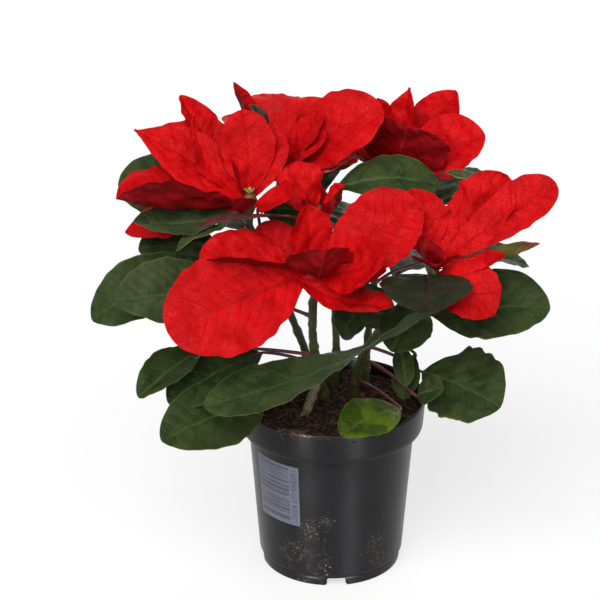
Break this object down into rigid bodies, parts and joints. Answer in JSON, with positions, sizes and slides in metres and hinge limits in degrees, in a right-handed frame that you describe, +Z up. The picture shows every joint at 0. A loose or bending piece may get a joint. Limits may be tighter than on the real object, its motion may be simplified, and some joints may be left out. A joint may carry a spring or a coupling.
{
  "type": "poinsettia",
  "caption": "Red poinsettia in a round dark plastic nursery pot, with layered bracts over broad green leaves.",
  "frame": {"origin": "centre of the pot's underside, on the surface that the pot stands on", "axes": "+Z up along the pot's axis; +X to the right and -Y toward the viewer in the reference view"},
  "size_m": [0.2819, 0.2357, 0.3182],
  "materials": {
    "pot": "satin dark charcoal plastic",
    "soil": null,
    "foliage": null,
    "bracts": null,
    "flowers": null
  },
  "bodies": {
    "root": {"pot": "pot", "soil": "soil", "leafy_stem_a": "foliage", "leafy_stem_b": "foliage", "leafy_stem_c": "foliage", "leafy_stem_d": "foliage", "leafy_stem_e": "foliage", "bracts_a": "bracts", "bracts_b": "bracts", "bracts_c": "bracts", "bracts_d": "bracts", "bracts_e": "bracts", "bracts_g": "bracts", "flowers_a": "flowers", "flowers_b": "flowers", "flowers_c": "flowers", "flowers_d": "flowers", "flowers_e": "flowers"}
  },
  "joints": []
}
